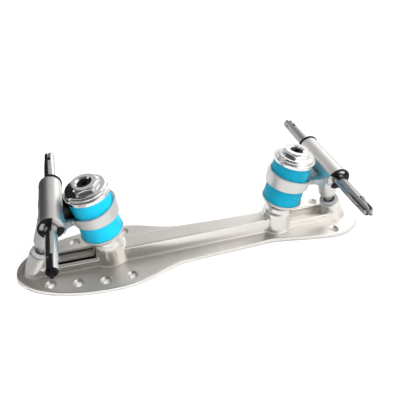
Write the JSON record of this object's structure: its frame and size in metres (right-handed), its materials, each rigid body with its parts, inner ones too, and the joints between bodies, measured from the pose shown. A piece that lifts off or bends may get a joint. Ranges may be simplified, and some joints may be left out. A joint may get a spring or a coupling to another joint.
{
  "type": "roller skate plate",
  "caption": "Bare quad skate plate: a waisted aluminium sole plate with cushioned steering trucks, adjusting nuts and axles whose ends hold wheels by quick-release latches.",
  "frame": {"origin": "on the sole face, on the plate's symmetry plane, midway between the two axles", "axes": "+X towards the heel, +Y along the axles to the far side of the picture, +Z from the sole face up towards the axles"},
  "size_m": [0.248, 0.1186, 0.0677],
  "materials": {
    "plate_aluminium": "satin anodised",
    "hanger_aluminium": "fine satin",
    "chrome": "polished plating",
    "steel": "turned",
    "axle_steel": "ground and polished",
    "black_steel": "black oxide",
    "urethane": "cast urethane",
    "cup_plastic": "moulded, matt"
  },
  "bodies": {
    "plate": {"plate": "plate_aluminium", "front_kingpin": "steel", "front_jam_nut": "steel", "front_seat_washer": "hanger_aluminium", "front_lower_cushion": "urethane", "front_upper_cushion": "urethane", "front_pivot_cup": "cup_plastic", "rear_kingpin": "steel", "rear_jam_nut": "steel", "rear_seat_washer": "hanger_aluminium", "rear_lower_cushion": "urethane", "rear_upper_cushion": "urethane", "rear_pivot_cup": "cup_plastic"},
    "front_hanger": {"front_hanger": "hanger_aluminium", "front_pivot_pin": "steel"},
    "front_axle": {"front_axle": "axle_steel", "front_left_clip": "black_steel", "front_left_latch_pin": "steel", "front_left_latch_spring": "steel", "front_right_clip": "black_steel", "front_right_latch_pin": "steel", "front_right_latch_spring": "steel"},
    "front_retainer": {"front_retainer": "chrome"},
    "front_nut": {"front_adjusting_nut": "chrome"},
    "front_left_latch": {"front_left_latch": "steel"},
    "front_right_latch": {"front_right_latch": "steel"},
    "rear_hanger": {"rear_hanger": "hanger_aluminium", "rear_pivot_pin": "steel"},
    "rear_axle": {"rear_axle": "axle_steel", "rear_left_clip": "black_steel", "rear_left_latch_pin": "steel", "rear_left_latch_spring": "steel", "rear_right_clip": "black_steel", "rear_right_latch_pin": "steel", "rear_right_latch_spring": "steel"},
    "rear_retainer": {"rear_retainer": "chrome"},
    "rear_nut": {"rear_adjusting_nut": "chrome"},
    "rear_left_latch": {"rear_left_latch": "steel"},
    "rear_right_latch": {"rear_right_latch": "steel"}
  },
  "joints": [
    {"name": "front_tilt", "type": "hinge", "parent": "plate", "child": "front_hanger", "pos_m": [-0.1042, 0, 0.013], "axis": [0.7856, 0, 0.6187], "range_deg": [-8, 8], "stiffness_Nm_per_rad": 40, "deforming": ["front_lower_cushion", "front_upper_cushion"]},
    {"name": "front_axle_turn", "type": "hinge", "parent": "front_hanger", "child": "front_axle", "pos_m": [-0.09, 0, 0.0534], "axis": [0, 1, 0], "continuous": true},
    {"name": "front_retainer_rise", "type": "slide", "parent": "plate", "child": "front_retainer", "axis": [-0.1564, 0, 0.9877], "range_m": [0, 0.00125]},
    {"name": "front_nut_turn", "type": "hinge", "parent": "front_retainer", "child": "front_nut", "pos_m": [-0.06821, 0, 0.06134], "axis": [-0.1564, 0, 0.9877], "range_deg": [0, 360]},
    {"name": "front_left_latch_press", "type": "hinge", "parent": "front_axle", "child": "front_left_latch", "pos_m": [-0.09, -0.05025, 0.0536], "axis": [-1, 0, 0], "range_deg": [0, 18], "stiffness_Nm_per_rad": 0.05, "springref_deg": -11.46, "deforming": ["front_left_latch_spring"]},
    {"name": "front_right_latch_press", "type": "hinge", "parent": "front_axle", "child": "front_right_latch", "pos_m": [-0.09, 0.05025, 0.0536], "axis": [1, 0, 0], "range_deg": [0, 18], "stiffness_Nm_per_rad": 0.05, "springref_deg": -11.46, "deforming": ["front_right_latch_spring"]},
    {"name": "rear_tilt", "type": "hinge", "parent": "plate", "child": "rear_hanger", "pos_m": [0.1042, 0, 0.013], "axis": [-0.7856, 0, 0.6187], "range_deg": [-8, 8], "stiffness_Nm_per_rad": 40, "deforming": ["rear_lower_cushion", "rear_upper_cushion"]},
    {"name": "rear_axle_turn", "type": "hinge", "parent": "rear_hanger", "child": "rear_axle", "pos_m": [0.09, 0, 0.0534], "axis": [0, 1, 0], "continuous": true},
    {"name": "rear_retainer_rise", "type": "slide", "parent": "plate", "child": "rear_retainer", "axis": [0.1564, 0, 0.9877], "range_m": [0, 0.00125]},
    {"name": "rear_nut_turn", "type": "hinge", "parent": "rear_retainer", "child": "rear_nut", "pos_m": [0.06821, 0, 0.06134], "axis": [0.1564, 0, 0.9877], "range_deg": [0, 360]},
    {"name": "rear_left_latch_press", "type": "hinge", "parent": "rear_axle", "child": "rear_left_latch", "pos_m": [0.09004, -0.05025, 0.0536], "axis": [-0.9848, 0, 0.1736], "range_deg": [0, 18], "stiffness_Nm_per_rad": 0.05, "springref_deg": -11.46, "deforming": ["rear_left_latch_spring"]},
    {"name": "rear_right_latch_press", "type": "hinge", "parent": "rear_axle", "child": "rear_right_latch", "pos_m": [0.09004, 0.05025, 0.0536], "axis": [0.9848, 0, -0.1736], "range_deg": [0, 18], "stiffness_Nm_per_rad": 0.05, "springref_deg": -11.46, "deforming": ["rear_right_latch_spring"]}
  ],
  "couplings": [
    {"joint": "front_nut_turn", "follows": "front_retainer_rise", "rad_per_m": 5026.5},
    {"joint": "rear_nut_turn", "follows": "rear_retainer_rise", "rad_per_m": 5026.5}
  ]
}
